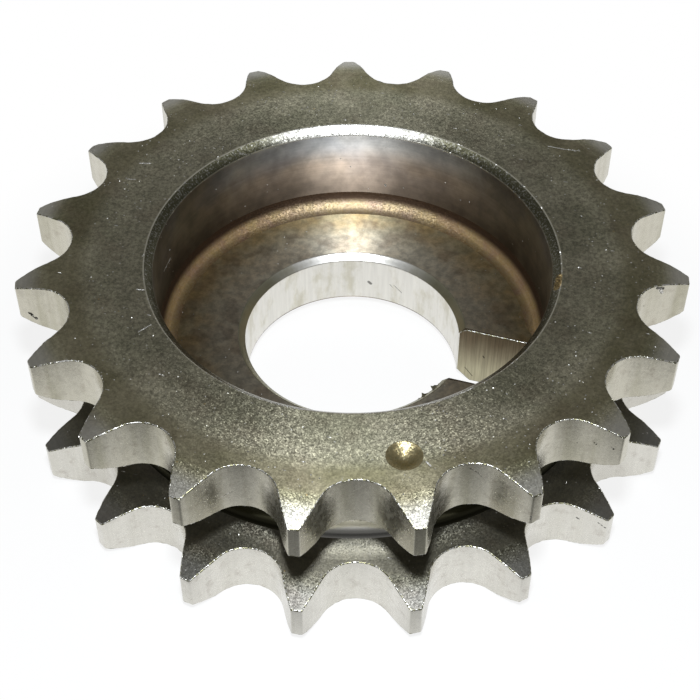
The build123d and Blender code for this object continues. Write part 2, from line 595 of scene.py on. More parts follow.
def hub_rows(shape, columns):
    """The hub, from the seam on the upper face down through the bore to the one below."""
    points, normals, turned = keyhole(shape, columns)
    width = shape.edge_break * 0.8  # a little sharper than the teeth
    inner_radii, inner_angles = polar(points - width * normals)
    radii = polar(points)[0]
    inner_angles = turned + (inner_angles - turned + pi) % (2 * pi) - pi
    top, seam = shape.height, shape.seam_radius
    ease = 0.07  # how far rows stand off a corner to either side, to round it
    wall_radius, chamfer = shape.counterbore_radius, shape.counterbore_chamfer
    slope = ease * sqrt(0.5)
    rows = Rows()
    rows.ring(seam, columns, top, FACE)

    def blend(share):
        """The columns' angles, going over to the keyhole's by a share."""
        return columns + (inner_angles - columns) * share

    # on the way down the columns turn from the teeth's angles to the keyhole's
    rim, below = shape.mouth_radius, top - chamfer - ease
    rim_share, wall_share = 0.3, 0.4
    for share in (0.25, 0.5, 0.75, 0.92):
        rows.ring(seam + (rim + ease - seam) * share, blend(share * rim_share), top, FACE)
    rows.ring(rim + ease, blend(rim_share), top, FACE, 0.7)
    rows.ring(rim - slope, blend(rim_share), top - slope, LIP, 1.0)
    middle_share = (rim_share + wall_share) / 2
    rows.ring(rim - chamfer / 2, blend(middle_share), top - chamfer / 2, RIM, 0.3)
    rows.ring(wall_radius + slope, blend(wall_share), top - chamfer + slope, RIM, 1.0)
    rows.ring(wall_radius, blend(wall_share), below, LIP, 0.7)
    foot = shape.web_thickness + shape.counterbore_fillet
    for share in np.linspace(0, 1, 7)[1:]:
        angles = blend(wall_share + (1 - wall_share) * share)
        rows.ring(wall_radius, angles, below + (foot - below) * share, COUNTERBORE)

    # the floor's rows are set out for the plain bore, and close up where the slot cuts in
    fillet_turns = np.linspace(0, pi / 2, FILLET_POINTS)[1:]
    fillet_radii = [wall_radius - shape.counterbore_fillet * (1 - cos(t)) for t in fillet_turns]
    chamfer_radius = shape.bore_radius + shape.bore_top_chamfer
    floor_radii = list(np.linspace(fillet_radii[-1], chamfer_radius + ease, 7)[1:])
    last = shape.bore_radius + width
    chamfer_radii = [chamfer_radius - slope, shape.bore_radius + shape.bore_top_chamfer / 2, last]
    for ring_radius in fillet_radii + floor_radii + chamfer_radii:
        out = (ring_radius - last) / (wall_radius - last)
        ring = inner_radii + out * (wall_radius - inner_radii)
        finish = FILLET if ring_radius in fillet_radii else WEB
        finish = BORE if ring_radius < chamfer_radius else finish
        rows.ring(ring, inner_angles, shape.web_top(ring), finish)

    rows.in_slot = np.abs(turned) < asin(shape.slot_width / 2 / shape.bore_radius)
    broken_edge(rows, points, normals, width, shape.web_top, EDGE)
    rags = torn_burr(shape, turned)
    for row in (-3, -2):  # the rounded edge's two middle rows
        rows.rows[row][:, :2] += normals * rags[:, None]
        rows.rows[row][:, 2] += rags * 0.3
    wall(rows, points, shape.web_top(radii) - width, shape.web_bottom(radii) + width, 5, BORE)
    # the bore's lower rounded edge takes the counterbore's dark varnish finish, as painted shade
    broken_edge(rows, points, normals, width, shape.web_bottom, COUNTERBORE, lower=True)

    lower = shape.bore_radius + shape.bore_bottom_chamfer
    face_radii = np.linspace(lower + ease, seam, 5)[:-1]
    for ring_radius in [(lower + shape.bore_radius) / 2, lower - slope, *face_radii]:
        out = (ring_radius - last) / (seam - last)
        ring = inner_radii + out * (seam - inner_radii)
        finish = BORE if ring_radius < lower else FACE
        rows.ring(ring, blend(1 - out), shape.web_bottom(ring), finish)
    rows.ring(seam, columns, 0.0, FACE)
    return rows


def skin(rows, closed):
    """A mesh of four-sided faces between rows of points, its columns closed into a ring or not."""
    grid = np.array(rows.rows) * MM
    count, columns = grid.shape[:2]
    across = columns if closed else columns - 1
    row, column = np.meshgrid(np.arange(count - 1), np.arange(across), indexing="ij")
    beside = (column + 1) % columns
    here, below = row * columns, (row + 1) * columns
    corners = (here + column, below + column, below + beside, here + beside)
    faces = np.stack(corners, axis=-1).reshape(-1, 4)
    finishes = np.repeat(rows.finishes[1:], across)
    if rows.in_slot is not None:
        slot_face = np.tile(rows.in_slot & np.roll(rows.in_slot, -1), count - 1)
        finishes = np.where(slot_face & (finishes == BORE), SLOT, finishes)
        finishes = np.where(~slot_face & (finishes == EDGE), BORE, finishes)
    edges = np.repeat(rows.edges, columns)
    return grid.reshape(-1, 3), faces, finishes, edges


def new_mesh(name, points, faces, finishes, edges):
    """A mesh with a finish for each face and an edge share for each point."""
    mesh = bpy.data.meshes.new(name)
    mesh.from_pydata(points.tolist(), [], faces.tolist())
    finish = mesh.attributes.new("finish", "INT", "FACE")
    finish.data.foreach_set("value", np.asarray(finishes, np.int32))
    edge = mesh.attributes.new("edge", "FLOAT", "POINT")
    edge.data.foreach_set("value", np.asarray(edges, np.float32))
    return mesh


def ring_tree(finishes):
    """Geometry Nodes that repeat one tooth round the axis, roughen its edges and finish it."""
    tree = bpy.data.node_groups.new("Teeth in a ring", "GeometryNodeTree")
    for side in ("INPUT", "OUTPUT"):
        tree.interface.new_socket("Geometry", in_out=side, socket_type="NodeSocketGeometry")
    numbers = (
        ("Teeth", "NodeSocketInt", 19),
        ("First gap", "NodeSocketFloat", 0.0),
        ("Burr height", "NodeSocketFloat", 0.03 * MM),
        ("Burr spacing", "NodeSocketFloat", 0.4 * MM),
        ("Seed", "NodeSocketInt", 0),
    )
    for name, kind, default in numbers:
        socket = tree.interface.new_socket(name, in_out="INPUT", socket_type=kind)
        socket.default_value = default
    given = add(tree, "NodeGroupInput").node.outputs

    step = 2 * pi / Pattern(given["Teeth"])
    turn = Pattern(add(tree, "GeometryNodeInputIndex")) * step + given["First gap"]
    ring = add(
        tree,
        "GeometryNodeInstanceOnPoints",
        inputs={
            "Points": add(tree, "GeometryNodePoints", given["Teeth"]),
            "Instance": given["Geometry"],
            "Rotation": add(tree, "ShaderNodeCombineXYZ", 0.0, 0.0, turn),
        },
    )
    real = add(tree, "GeometryNodeRealizeInstances", ring)
    welded = add(tree, "GeometryNodeMergeByDistance", inputs={"Geometry": real, "Distance": WELD})

    place = add(tree, "GeometryNodeInputPosition")
    frequency = 1 / Pattern(given["Burr spacing"])
    grain = add(
        tree,
        "ShaderNodeTexNoise",
        inputs={"Vector": place, "Scale": frequency, "W": given["Seed"]},
        noise_dimensions="4D",
    )
    edge = Pattern(add(tree, "GeometryNodeInputNamedAttribute", "edge", data_type="FLOAT"))
    height = (Pattern(grain) - 0.5) * edge * given["Burr height"] * (1 / NOISE_SWING)
    normal = add(tree, "GeometryNodeInputNormal")
    offset = add(tree, "ShaderNodeVectorMath", normal, height, operation="SCALE")
    geometry = add(tree, "GeometryNodeSetPosition", inputs={"Geometry": welded, "Offset": offset})

    own = add(tree, "GeometryNodeInputNamedAttribute", "finish", data_type="INT")
    for number, material in enumerate(finishes):
        chosen = add(tree, "FunctionNodeCompare", own, number, data_type="INT", operation="EQUAL")
        geometry = add(tree, "GeometryNodeSetMaterial", geometry, chosen, material)
    add(tree, "NodeGroupOutput", geometry)
    return tree


def input_identifier(tree, name):
    """The identifier that a modifier knows a tree's input by."""
    inputs = (item for item in tree.interface.items_tree if item.in_out == "INPUT")
    return next(item.identifier for item in inputs if item.name == name)


def in_scene(name, data):
    """A new object, linked to the scene."""
    item = bpy.data.objects.new(name, data)
    bpy.context.scene.collection.objects.link(item)
    return item


def ring_of_teeth(shape, finishes):
    """All the teeth as one plain mesh."""
    tooth = in_scene("tooth", new_mesh("tooth", *skin(teeth_rows(shape), closed=False)))
    tree = ring_tree(finishes)
    modifier = tooth.modifiers.new("Teeth in a ring", "NODES")
    modifier.node_group = tree
    values = {
        "Teeth": shape.tooth_count,
        "First gap": shape.slot_to_gap,
        "Burr height": shape.burr_height * MM,
        "Burr spacing": shape.burr_spacing * MM,
        "Seed": shape.seed,
    }
    for name, value in values.items():
        modifier[input_identifier(tree, name)] = value
    graph = bpy.context.evaluated_depsgraph_get()
    mesh = bpy.data.meshes.new_from_object(tooth.evaluated_get(graph))
    bpy.data.objects.remove(tooth)
    return mesh


def mesh_parts(mesh):
    """Points, faces, finishes and edge shares of a mesh of four-sided faces."""
    points = np.empty(len(mesh.vertices) * 3)
    mesh.vertices.foreach_get("co", points)
    loops = np.empty(len(mesh.loops), np.int32)
    mesh.loops.foreach_get("vertex_index", loops)
    finishes = np.empty(len(mesh.polygons), np.int32)
    mesh.attributes["finish"].data.foreach_get("value", finishes)
    edges = np.empty(len(mesh.vertices), np.float32)
    mesh.attributes["edge"].data.foreach_get("value", edges)
    return points.reshape(-1, 3), loops.reshape(-1, 4), finishes, edges


def drill_mark(work, shape, finish, edge):
    """Opens the upper face round the timing mark and fills the hole with a drill point."""
    tooth_angle = 2 * pi / shape.tooth_count
    turn = shape.slot_to_gap + tooth_angle / 2 - shape.mark_tooth * tooth_angle
    place = shape.root_radius - shape.mark_below_root
    centre = Vector((place * cos(turn), place * sin(turn), shape.height)) * MM
    radius = shape.mark_diameter / 2 * MM
    clear = radius + 0.25 * MM
    level = [v for v in work.verts if abs(v.co.z - centre.z) < WELD]
    near = [v for v in level if (v.co - centre).length < clear]
    bmesh.ops.delete(work, geom=near, context="VERTS")
    rim = [e for e in work.edges if e.is_boundary]
    count = 48  # sides
    ease, blunt = 0.04 * MM, 0.35 * radius  # rounding of the mouth and of the point
    slope = tan(pi / 2 - shape.mark_point_angle / 2)

    def depth_at(ring_radius):
        return (hypot(radius, blunt) - hypot(ring_radius, blunt)) * slope

    inner_radii = [radius - ease, *(radius * np.linspace(0.88, 0.1, 8))]
    depths = {radius + ease: 0.0, **{r: depth_at(r) for r in inner_radii}}
    turns = np.linspace(0, 2 * pi, count, endpoint=False)
    loops = [
        [work.verts.new(centre + Vector((r * cos(t), r * sin(t), -depth))) for t in turns]
        for r, depth in depths.items()
    ]
    sides = [(i, (i + 1) % count) for i in range(count)]
    mouth = [work.edges.new((loops[0][i], loops[0][j])) for i, j in sides]
    made = bmesh.ops.triangle_fill(work, edges=rim + mouth, use_beauty=True, normal=(0, 0, 1))
    for f in (item for item in made["geom"] if isinstance(item, bmesh.types.BMFace)):
        f[finish] = FACE
    for v in loops[0] + loops[1]:
        v[edge] = 0.8
    for outer, inner in zip(loops, loops[1:]):
        for i, j in sides:
            work.faces.new((outer[i], outer[j], inner[j], inner[i]))[finish] = MARK
    point = work.verts.new(centre - Vector((0, 0, depth_at(0))))
    for i, j in sides:
        work.faces.new((loops[-1][i], loops[-1][j], point))[finish] = MARK


def even_normals(mesh):
    """Normals in which a large face outweighs the narrow strips beside it, so flats stay flat."""
    mesh.shade_smooth()
    total = np.zeros((len(mesh.vertices), 3))
    for face in mesh.polygons:
        total[list(face.vertices)] += np.array(face.normal) * face.area
    total /= np.linalg.norm(total, axis=1, keepdims=True)
    mesh.normals_split_custom_set_from_vertices(total.tolist())


def join_parts(shape, ring, finishes):
    """The teeth and the hub as one closed skin, with the timing mark in it."""
    ring_points, ring_faces, ring_finishes, ring_edges = mesh_parts(ring)
    bpy.data.meshes.remove(ring)
    radii, angles = polar(ring_points)
    on_top = np.abs(ring_points[:, 2] - shape.height * MM) < WELD
    columns = np.sort(angles[on_top & (np.abs(radii - shape.seam_radius * MM) < WELD)])
    hub_points, hub_faces, hub_finishes, hub_edges = skin(hub_rows(shape, columns), closed=True)
    mesh = new_mesh(
        "sprocket_steel",
        np.vstack([ring_points, hub_points]),
        np.vstack([ring_faces, hub_faces + len(ring_points)]),
        np.concatenate([ring_finishes, hub_finishes]),
        np.concatenate([ring_edges, hub_edges]),
    )
    work = bmesh.new()
    work.from_mesh(mesh)
    bmesh.ops.remove_doubles(work, verts=work.verts, dist=WELD)
    finish = work.faces.layers.int["finish"]
    edge = work.verts.layers.float["edge"]
    drill_mark(work, shape, finish, edge)
    bmesh.ops.recalc_face_normals(work, faces=work.faces)
    if work.calc_volume(signed=True) < 0:
        bmesh.ops.reverse_faces(work, faces=work.faces)
    open_edges = sum(not e.is_manifold for e in work.edges)
    if open_edges:
        raise RuntimeError(f"the sprocket's skin has {open_edges} open edges")
    for f in work.faces:
        f.material_index = f[finish]
    work.to_mesh(mesh)
    work.free()
    for material in finishes:
        mesh.materials.append(material)
    return mesh


# ---------------------------------------------------------------- finishes


class Steel:
    """One finish of the steel: a material, and the patterns that its colour and relief are made of.

    Every pattern is laid out in millimetres in the part's own frame. A finish-turned ring or a
    ground scratch is a few hundredths of a millimetre wide, too fine to show, so lines and grains
    are drawn about a tenth of a millimetre wide, the finest that a picture of the part can hold.
    """

    def __init__(self, name):
        self.material = bpy.data.materials.new(name)
        self.tree = cleared(self.material)
        where = self.add("ShaderNodeTexCoord").node.outputs["Object"]
        self.place = self.add("ShaderNodeVectorMath", where, 1 / MM, operation="SCALE")
        parts = self.add("ShaderNodeSeparateXYZ", self.place).node.outputs
        self.height = Pattern(parts["Z"])
        self.flat = self.add("ShaderNodeCombineXYZ", parts["X"], parts["Y"])
        self.radius = Pattern(self.add("ShaderNodeVectorMath", self.flat, operation="LENGTH"))

    def add(self, kind, *values, **settings):
        """Adds a node to the material."""
        return add(self.tree, kind, *values, **settings)

    def moved(self, stretch, shift):
        """The place, scaled by a factor on each axis and moved along all three."""
        factors = {"operation": "MULTIPLY_ADD"}
        return self.add("ShaderNodeVectorMath", self.place, stretch, (shift,) * 3, **factors)

    def toward(self, angle):
        """1 on the side of the axis at this angle, -1 on the other, a cosine between."""
        way = (cos(angle), sin(angle), 0)
        along = self.add("ShaderNodeVectorMath", self.flat, way, operation="DOT_PRODUCT")
        return Pattern(along) / self.radius

    def clouds(self, size, detail=2.0, roughness=0.5, shift=0.0, stretch=(1, 1, 1)):
        """Soft lumps of about this size in millimetres."""
        inputs = {
            "Vector": self.moved(stretch, shift),
            "Scale": LUMP / size,
            "Detail": detail,
            "Roughness": roughness,
        }
        return Pattern(self.add("ShaderNodeTexNoise", inputs=inputs))

    def turned_lines(self, spacing, shift=0.0):
        """Fine rings left by the lathe tool, this far apart in millimetres."""
        profile = self.add("ShaderNodeCombineXYZ", self.radius, self.height, shift)
        inputs = {"Vector": profile, "Scale": LUMP / spacing, "Detail": 2.0, "Roughness": 0.6}
        return Pattern(self.add("ShaderNodeTexNoise", inputs=inputs))

    def dots(self, spacing, size, share, shift=0.0, stretch=(1, 1, 1)):
        """Scattered dots of this size, in only a share of the places that are this far apart."""
        inputs = {"Vector": self.moved(stretch, shift), "Scale": 1 / spacing}
        cells = self.add("ShaderNodeTexVoronoi", inputs=inputs).node.outputs
        near = Pattern(cells["Distance"]).step(0.5 * size / spacing, 0.35 * size / spacing)
        chance = Pattern(self.add("ShaderNodeSeparateColor", cells["Color"]))
        return near * chance.step(1 - share, 1 - share + 0.02)

    def marks(self, marks):
        """1 inside thin marks and 0 outside, each given by its two ends and its width."""
        masks = []
        for start, end, width in marks:
            run = Vector(end) - Vector(start)
            way = run / run.length_squared
            offset = self.add("ShaderNodeVectorMath", self.place, start, operation="SUBTRACT")
            along = self.add("ShaderNodeVectorMath", offset, way, operation="DOT_PRODUCT")
            share = self.add("ShaderNodeClamp", along)
            nearest = self.add("ShaderNodeVectorMath", run, share, operation="SCALE")
            away = self.add("ShaderNodeVectorMath", offset, nearest, operation="DISTANCE")
            masks.append(Pattern(away).step(width / 2, width / 4))
        return reduce(or_, masks)

    def facets(self, size, slope, share=1.0, normal=None):
        """A normal, the surface's own or another, tipped in each grain by up to this slope."""
        inputs = {"Vector": self.place, "Scale": 1 / size}
        cells = self.add("ShaderNodeTexVoronoi", inputs=inputs).node.outputs
        way = self.add("ShaderNodeVectorMath", cells["Color"], (0.5,) * 3, operation="SUBTRACT")
        tipped = self.add("ShaderNodeVectorMath", way, share * (2 * slope), operation="SCALE")
        plain = normal or self.add("ShaderNodeNewGeometry").node.outputs["Normal"]
        total = self.add("ShaderNodeVectorMath", plain, tipped, operation="ADD")
        return self.add("ShaderNodeVectorMath", total, operation="NORMALIZE")

    def blend(self, share, first, second):
        """The first colour, going over to the second by a share."""
        return self.add("ShaderNodeMix", share, first, second, data_type="RGBA")

    def shaded(self, colour, factor):
        """A colour made lighter or darker by a factor."""
        return self.add("ShaderNodeVectorMath", colour, factor, operation="SCALE")

    def relief(self, pattern, depth, normal=None):
        """A normal that rises and falls with a pattern, this deep in millimetres."""
        inputs = {"Height": pattern, "Distance": depth * MM, "Strength": 1.0}
        if normal is not None:
            inputs["Normal"] = normal
        return self.add("ShaderNodeBump", inputs=inputs)

    def finish(self, colour, roughness, normal, stretch=0.0, across=True):
        """The finished material, its gloss stretched across the tool's rings or along them."""
        inputs = {"Metallic": 1.0, "Base Color": colour, "Roughness": roughness, "Normal": normal}
        if stretch:
            inputs["Anisotropic"] = stretch
            inputs["Anisotropic Rotation"] = 0.25 if across else 0.0
            inputs["Tangent"] = self.add("ShaderNodeTangent", direction_type="RADIAL", axis="Z")
        self.add("ShaderNodeOutputMaterial", self.add("ShaderNodeBsdfPrincipled", inputs=inputs))
        return self.material


# marks that use has left, each from one end to the other and its width, in millimetres
FACE_SCRATCHES = (
    ((-17.0, -9.7, 16.55), (-16.4, -9.6, 16.55), 0.18),
    ((-14.9, -14.5, 16.55), (-14.2, -13.4, 16.55), 0.14),
    ((-23.3, 6.4, 16.55), (-22.3, 6.7, 16.55), 0.18),
    ((-23.5, 3.9, 16.55), (-22.8, 4.1, 16.55), 0.12),
    ((13.7, 20.4, 16.55), (15.3, 20.4, 16.55), 0.15),
    ((15.3, 20.4, 16.55), (16.8, 20.6, 16.55), 0.12),
    ((12.6, -21.2, 16.55), (13.0, -21.5, 16.55), 0.18),
)
FLANK_SCRATCHES = (
    ((-3.0, -26.7, 12.9), (-2.3, -26.2, 13.2), 0.14),
    ((27.3, 4.5, 15.9), (27.5, 4.6, 15.5), 0.4),
)
FLANK_DENTS = (
    ((27.0, 4.4, 16.2), (27.5, 4.6, 16.0), 0.5),
    ((-26.9, -12.0, 12.9), (-26.3, -12.0, 12.4), 0.45),
    ((25.0, -13.3, 14.2), (25.1, -13.3, 14.1), 0.25),
    ((26.4, -13.3, 14.2), (26.6, -13.3, 14.0), 0.25),
    ((21.5, -21.4, 13.1), (21.5, -21.4, 12.7), 0.2),
    ((24.6, -13.3, 3.8), (24.8, -13.3, 3.7), 0.25),
    ((26.5, -13.3, 3.9), (27.2, -13.3, 3.4), 0.2),
    ((16.0, -20.3, 15.9), (16.7, -20.1, 15.3), 0.12),
    ((16.7, -20.1, 15.3), (17.2, -20.1, 14.6), 0.12),
)
WALL_SCRATCHES = (
    ((-18.0, -1.9, 11.3), (-18.1, 0.1, 11.2), 0.16),
    ((-2.0, 18.0, 9.7), (-1.9, 18.0, 9.5), 0.2),
)
BORE_DENTS = (
    ((-1.3, 10.1, 3.5), (-1.1, 10.1, 3.3), 0.4),
    ((0.9, 10.1, 3.7), (2.0, 9.9, 2.7), 0.1),
    ((1.3, 10.1, 3.8), (2.2, 9.9, 3.1), 0.1),
)
SLOT_SCRATCHES = (
    ((10.5, 3.2, 1.7), (11.3, 3.2, 0.7), 0.14),
    ((12.2, 3.2, 3.8), (12.3, 3.2, 3.6), 0.2),
)
RIM_CHIPS = (((18.5, 2.9, 16.3), (18.5, 1.8, 16.3), 1.1),)
LIP_BURRS = (
    ((-4.5, -18.3, 16.55), (-1.6, -18.8, 16.55), 0.4),
    ((-1.6, -18.8, 16.55), (1.3, -18.8, 16.55), 0.4),
    ((10.6, -15.6, 16.55), (12.5, -14.1, 16.55), 0.4),
    ((12.5, -14.1, 16.55), (14.2, -12.4, 16.55), 0.4),
)


def turned_face(colours, shape):
    """Turned carbon steel dulled by oil: olive grey, granular inside, smoother by the teeth.

    The tips are worn bare. Between the rows it is greyer, out of a cloth's reach, and darker as
    painted shade.
    """
    steel = Steel("oiled turned steel")
    root, mouth = shape.root_radius, shape.mouth_radius
    inner = steel.radius.step(root - 0.46, shape.groove_radius)
    tips = steel.radius.step(root + 1.44, root + 1.74)
    worn = steel.radius.step(root + 1.84, root + 3.84)
    rim = steel.radius.step(mouth + 4.35, mouth + 1.65)
    lower = steel.height.step(shape.row_spacing, shape.tooth_width)
    band = 1 - (inner | tips)

    clouds = steel.clouds(3.0, detail=6, roughness=0.7, shift=51.0)
    colour = steel.blend(clouds.step(0.32, 0.68), colours.film_dark, colours.film)
    colour = steel.blend(band * 0.08, colour, colours.straw)
    colour = steel.shaded(colour, band.between(1.0, 0.84))
    colour = steel.blend(inner * 0.12, colour, colours.bare)
    grains = steel.clouds(0.16, detail=4, roughness=0.75, shift=61.0).step(0.3, 0.7)
    colour = steel.shaded(colour, (grains - 0.5) * inner.between(0.45, 0.75) + 1.0)
    colour = steel.shaded(colour, rim.between(1.0, 0.8))
    colour = steel.blend(worn * 0.65, colour, colours.bare)
    greyed = steel.shaded(colours.bare, clouds.between(0.2, 0.36))
    colour = steel.blend(lower * 0.5, colour, greyed)
    # painted shade between the rows, deepest under the upper row
    colour = steel.shaded(colour, lower.between(1.0, 0.72))
    colour = steel.shaded(colour, (lower * inner).between(1.0, 0.7))
    browned = steel.clouds(1.8, detail=4, shift=71.0).step(0.5, 0.7)
    colour = steel.blend(browned * 0.2, colour, colours.varnish)
    lines = steel.turned_lines(0.14)
    colour = steel.shaded(colour, lines.between(0.85, 1.15))

    strewn = steel.clouds(1.6, detail=2, shift=31.0).step(0.42, 0.6)
    dashes = steel.dots(0.3, 0.12, 0.04, shift=40.0, stretch=(0.25, 1, 1))
    dents = steel.dots(0.42, 0.16, 0.45) * strewn | dashes
    scratches = steel.marks(FACE_SCRATCHES)
    colour = steel.blend(dents | scratches, colour, colours.bare)
    rust = steel.dots(1.1, 0.2, 0.1, shift=23.0)
    colour = steel.blend(rust * 0.7, colour, colours.straw)
    granular = inner + tips * worn.between(0.7, 0.0)
    grained = steel.facets(GRAIN, 0.9, granular.between(0.08, 0.22) | dents)
    normal = steel.relief(lines, 0.004, steel.facets(SCRAPE, 0.9, scratches, grained))
    return steel.finish(colour, dents.between(0.53, 0.44), normal, stretch=0.68)


def milled_flank(colours, shape):
    """Milled carbon steel between the teeth: grey, with faint marks along the axis.

    The upper row's flanks are stained by oil, the lower row's are cleaner.
    """
    steel = Steel("milled steel")
    upper = steel.height.step(shape.tooth_width, shape.row_spacing)
    colour = steel.blend(upper.between(0.1, 0.5), colours.bare, colours.film)
    bands = steel.clouds(0.9, detail=3, stretch=(1, 1, 0.1), shift=3.0).step(0.4, 0.7)
    colour = steel.blend(bands * upper.between(0.1, 0.4), colour, colours.film_dark)
    blots = steel.clouds(0.5, detail=4, roughness=0.65, shift=11.0).step(0.5, 0.8)
    colour = steel.blend(blots * 0.3, colour, colours.varnish)
    strokes = steel.clouds(0.14, detail=2, stretch=(1, 1, 0.03))
    colour = steel.shaded(colour, strokes.between(0.92, 1.08))
    pits = steel.dots(1.3, 0.16, 0.12, shift=5.0)
    colour = steel.shaded(colour, pits.between(1.0, 0.4))
    ragged = steel.clouds(0.12, detail=2, shift=15.0).step(0.35, 0.55)
    dents, scratches = steel.marks(FLANK_DENTS) * ragged, steel.marks(FLANK_SCRATCHES)
    colour = steel.shaded(colour, dents.between(1.0, 0.2))
    colour = steel.blend(scratches, colour, colours.bare)
    normal = steel.relief(strokes, 0.003, steel.facets(0.12, 0.7, dents | scratches | 0.03))
    dull = steel.clouds(0.3, detail=3, shift=8.0).step(0.4, 0.75)
    return steel.finish(colour, dull * 0.1 + strokes.between(0.22, 0.26), normal)


def worn_edge(colours, shape):
    """Edges rubbed bright, with a burr here and there that catches the light."""
    steel = Steel("rubbed steel edge")
    burrs = steel.clouds(0.12, detail=2, shift=2.0).step(0.42, 0.58)
    colour = steel.blend(burrs, colours.film_dark, colours.bare)
    return steel.finish(colour, 0.36, steel.relief(burrs, 0.03))


def turned_groove(colours, shape):
    """The groove's bottom, form-turned, painted near black as shade, left bare on one side where a
    reflection shows.
    """
    steel = Steel("oil-blackened form-turned steel")
    lines = steel.turned_lines(0.12)
    # near black as painted shade all round, except bare steel on the reflecting side, so that only
    # there the steel's reflection shows
    reflecting = steel.toward(shape.reflecting_side).step(cos(radians(13)), cos(radians(7)))
    colour = steel.blend(reflecting, steel.shaded(colours.film_dark, 0.25), colours.bare)
    colour = steel.shaded(colour, lines.between(0.9, 1.1))
    return steel.finish(colour, 0.2, steel.relief(lines, 0.002))


def bored_wall(colours, shape):
    """The bore's ground wall and chamfers: bright steel, smudged here and there.

    Oil has dulled the upper chamfer, except on the highlight side, left bright as a painted
    highlight.
    """
    steel = Steel("ground bore steel")
    smudges = steel.clouds(0.9, detail=4, roughness=0.65, stretch=(1, 1, 0.5)).step(0.45, 0.7)
    colour = steel.blend(smudges * 0.5, colours.bare, colours.film)
    strokes = steel.clouds(0.15, detail=2, stretch=(1, 1, 0.08))
    colour = steel.shaded(colour, strokes.between(0.95, 1.2))
    colour = steel.shaded(colour, steel.marks(BORE_DENTS).between(1.0, 0.3))
    foot = shape.web_thickness - shape.bore_top_chamfer
    # oil film on the upper chamfer, left off on the highlight side as a painted highlight
    oiled = steel.height.step(foot, foot + 0.04) * steel.toward(shape.highlight_side).step(0.95, 0.6)
    colour = steel.blend(oiled * 0.85, colour, colours.film_dark)
    grain = steel.clouds(0.12, detail=2, shift=4.0)
    return steel.finish(colour, 0.34, steel.relief(grain, 0.006))


def varnished_wall(colours, shape):
    """The counterbore's turned wall under a brown varnish of baked oil, with a painted highlight on
    one side and painted shade low down and at its mouth.
    """
    steel = Steel("varnished turned steel")
    web, top = shape.web_thickness, shape.height
    # painted highlight: lighter, with less varnish, on the highlight side
    rubbed = steel.toward(shape.highlight_side).step(0.5, 0.92)
    low = steel.height.step(web + 8.0, web + 1.0)
    tint = steel.blend(steel.height.step(top - 1.5, top - 4.5), colours.bare, colours.tinted)
    colour = steel.blend(rubbed, colours.film, tint)
    thin = steel.clouds(3.0, shift=9.0).step(0.4, 0.6) * 0.35
    colour = steel.blend(thin * (1 - low), colour, colours.blue)
    cloud = steel.clouds(2.5, detail=3, stretch=(1, 1, 0.6))
    stain = low * 0.15 + (rubbed * -0.4 + cloud.between(0.25, 0.85))
    colour = steel.blend(stain, colour, colours.varnish)
    # painted shade: darker toward the foot and, less so, near the mouth
    foot, mouth = steel.height.step(web + 5.2, web + 1.6), steel.height.step(top - 2.5, top - 1.0)
    colour = steel.shaded(colour, (foot + mouth * 0.5).between(0.95, 0.55))
    lines = steel.turned_lines(0.1)
    colour = steel.shaded(colour, lines.between(0.85, 1.15))
    blotches = steel.clouds(1.0, detail=4, roughness=0.6, shift=27.0).step(0.3, 0.7)
    colour = steel.shaded(colour, blotches.between(0.78, 1.12))
    specks = steel.dots(0.9, 0.16, 0.3) | steel.marks(WALL_SCRATCHES)
    colour = steel.blend(specks, colour, colours.bare)
    normal = steel.relief(lines, 0.002, steel.facets(SPECK, 0.9, specks))
    return steel.finish(colour, 0.63, normal, stretch=0.95)


def bronzed_fillet(colours, shape):
    """The counterbore's rounded foot: a matt ring that baked oil has tinted bronze.

    It fades into the dark wall above it and dims where it meets the web. On the highlight side it
    is lighter and barer, as a painted highlight.
    """
    steel = Steel("bronzed fillet steel")
    web = shape.web_thickness
    cloud = steel.clouds(0.8, detail=3)
    colour = steel.blend(cloud.step(0.3, 0.9), colours.straw, colours.bronze)
    worn = steel.clouds(0.1, detail=3, shift=6.0).step(0.3, 0.7)
    # painted highlight: lighter and barer on the highlight side
    rubbed = steel.toward(shape.highlight_side).step(0.8, 1.0)
    colour = steel.blend(rubbed * 0.1 + worn.between(0.0, 0.12), colour, colours.bare)
    colour = steel.shaded(colour, rubbed.between(1.5, 1.0))
    colour = steel.shaded(colour, steel.height.step(web + 0.25, web).between(1.0, 0.55))
    high = steel.height.step(web + 0.35, web + 1.0)
    colour = steel.blend(high, colour, steel.shaded(colours.varnish, 0.65))
    colour = steel.shaded(colour, steel.turned_lines(0.1, shift=2.0).between(0.8, 1.2))
    return steel.finish(colour, 0.54, steel.facets(GRAIN, 0.1), stretch=0.6)


def turned_web(colours, shape):
    """The counterbore's floor: faced steel under an olive film, its rings drawing out the light."""
    steel = Steel("faced web steel")
    cloud = steel.clouds(3.0, detail=5)
    colour = steel.blend(cloud.step(0.25, 0.5), colours.film_dark, colours.film)
    gold = steel.clouds(1.5, detail=3, shift=17.0).step(0.4, 0.65)
    colour = steel.blend(gold.between(0.4, 0.95), colour, colours.straw)
    clean = steel.radius.step(shape.bore_radius + 6.5, shape.bore_radius + 1.5)
    colour = steel.blend(clean.between(0.05, 0.5), colour, colours.bare)
    browned = steel.clouds(1.2, detail=4, shift=33.0).step(0.5, 0.62)
    colour = steel.blend(browned * 0.3, colour, steel.shaded(colours.bronze, 0.5))
    mottled = steel.clouds(0.4, detail=4, roughness=0.7, shift=37.0).step(0.3, 0.7)
    colour = steel.shaded(colour, mottled.between(0.9, 1.4))
    specks = steel.dots(0.6, 0.15, 0.3, shift=3.0)
    colour = steel.blend(specks, colour, colours.bare)
    lines = steel.turned_lines(0.1, shift=4.0)
    normal = steel.relief(lines, 0.002, steel.facets(SPECK, 0.9, specks))
    return steel.finish(colour, 0.65, normal, stretch=0.95)


